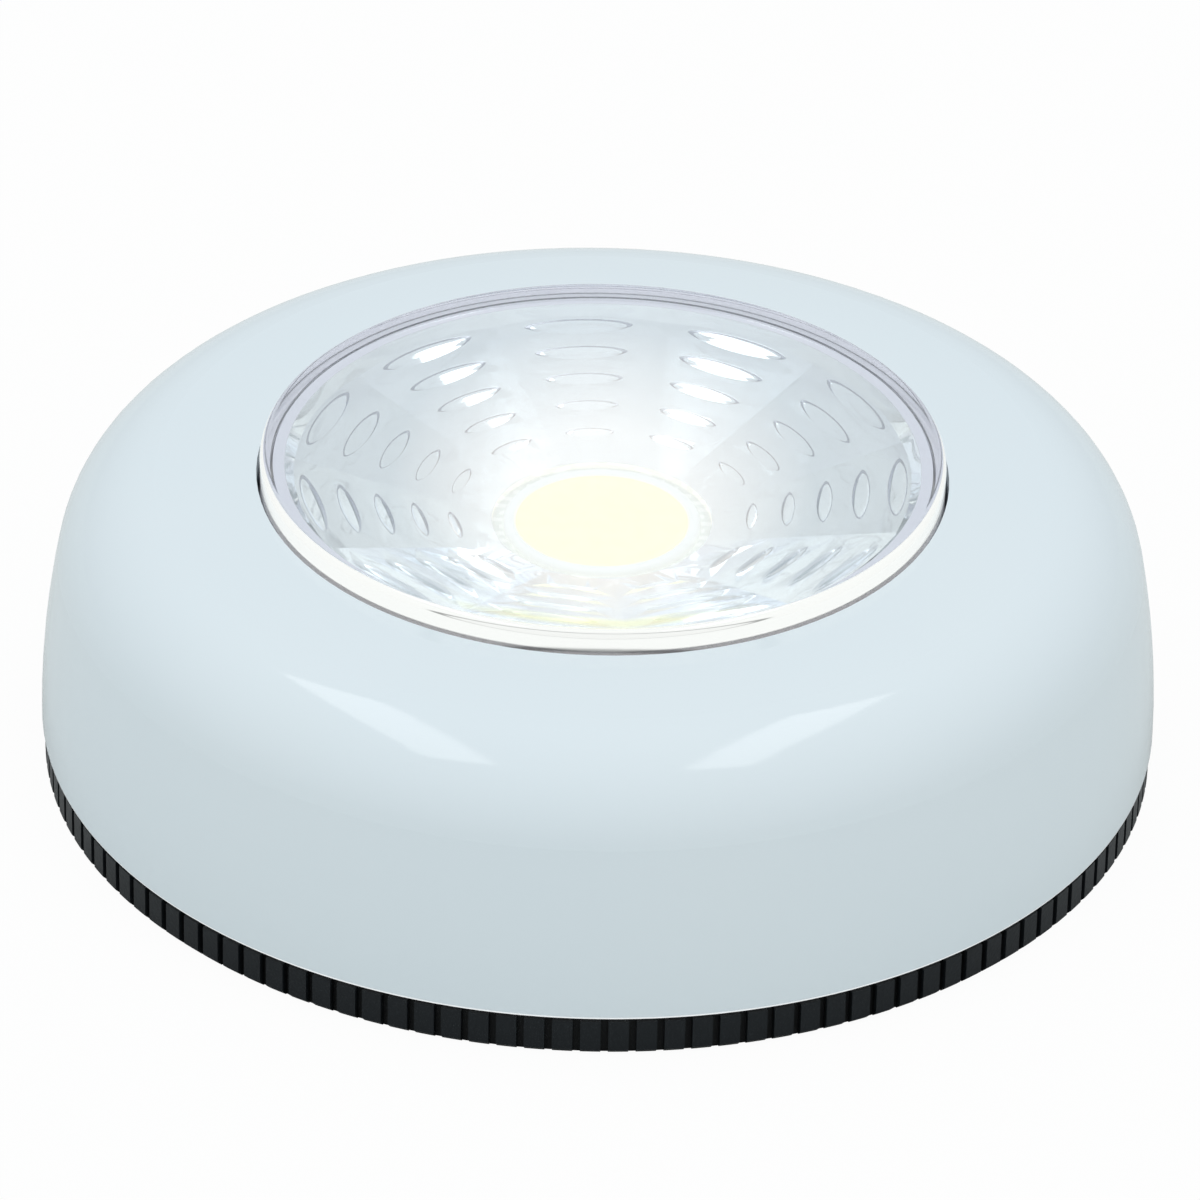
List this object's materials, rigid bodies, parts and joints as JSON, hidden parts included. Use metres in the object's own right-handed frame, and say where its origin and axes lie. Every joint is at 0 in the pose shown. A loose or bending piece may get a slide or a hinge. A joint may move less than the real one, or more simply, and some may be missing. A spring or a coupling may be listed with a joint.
{
  "type": "puck light",
  "caption": "Round stick-on battery puck light: gloss housing on a ribbed twist-off base, with a clear push lens over a faceted reflector bowl.",
  "frame": {"origin": "centre of the underside, on the surface that it sticks to", "axes": "+Z away from that surface, through the middle of the lens; +X towards the side where the switch lies; -Y towards the viewer of the picture"},
  "size_m": [0.085, 0.085, 0.0259],
  "materials": {
    "white_gloss_abs": "gloss moulded white, slightly blue",
    "black_abs": "black, fine satin",
    "clear_pc": "clear, polished",
    "metallised_bowl": "bright vacuum-metallised plastic",
    "white_abs": "plain moulded white",
    "grey_abs": "plain moulded light grey",
    "board_white": "white solder mask on aluminium",
    "dam_silicone": "white silicone",
    "led_fill": "lit pale-yellow fill",
    "foam_black": "closed-cell foam",
    "cell_wrap": "printed shrink sleeve, plain",
    "nickel_plate": "nickel-plated strip",
    "spring_steel": "drawn spring wire",
    "zinc_screw": "zinc-plated",
    "board_green": "green solder mask",
    "switch_black": "black nylon",
    "plunger_white": "natural acetal",
    "wire_red": "red PVC",
    "wire_black": "black PVC"
  },
  "bodies": {
    "base": {"base_cover": "black_abs", "adhesive_pad": "foam_black"},
    "housing": {"housing_shell": "white_gloss_abs", "battery_tray": "white_abs", "cell_left": "cell_wrap", "cell_middle": "cell_wrap", "cell_right": "cell_wrap", "positive_terminal": "nickel_plate", "negative_terminal": "nickel_plate", "rear_bridge": "nickel_plate", "front_bridge": "nickel_plate", "contact_springs": "spring_steel", "switch_board": "board_green", "switch_case": "switch_black", "tray_screws": "zinc_screw", "board_screws": "zinc_screw", "positive_wire": "wire_red", "negative_wire": "wire_black", "led_leads": "wire_red", "return_springs": "spring_steel"},
    "button": {"lens": "clear_pc", "reflector": "metallised_bowl", "led_board": "board_white", "led_dam": "dam_silicone", "led_disc": "led_fill", "button_carrier": "grey_abs"},
    "plunger": {"switch_plunger": "plunger_white"}
  },
  "joints": [
    {"name": "housing_twist", "type": "hinge", "parent": "base", "child": "housing", "pos_m": [0, 0, 0.005], "axis": [0, 0, 1], "range_deg": [0, 24]},
    {"name": "lens_press", "type": "slide", "parent": "housing", "child": "button", "axis": [0, 0, -1], "range_m": [0, 0.0015], "stiffness_N_per_m": 600, "springref_m": -0.0015, "deforming": ["return_springs", "led_leads"]},
    {"name": "plunger_travel", "type": "slide", "parent": "housing", "child": "plunger", "axis": [0, 0, -1], "range_m": [0, 0.0015]}
  ],
  "couplings": [
    {"joint": "plunger_travel", "follows": "lens_press", "ratio": 1}
  ]
}
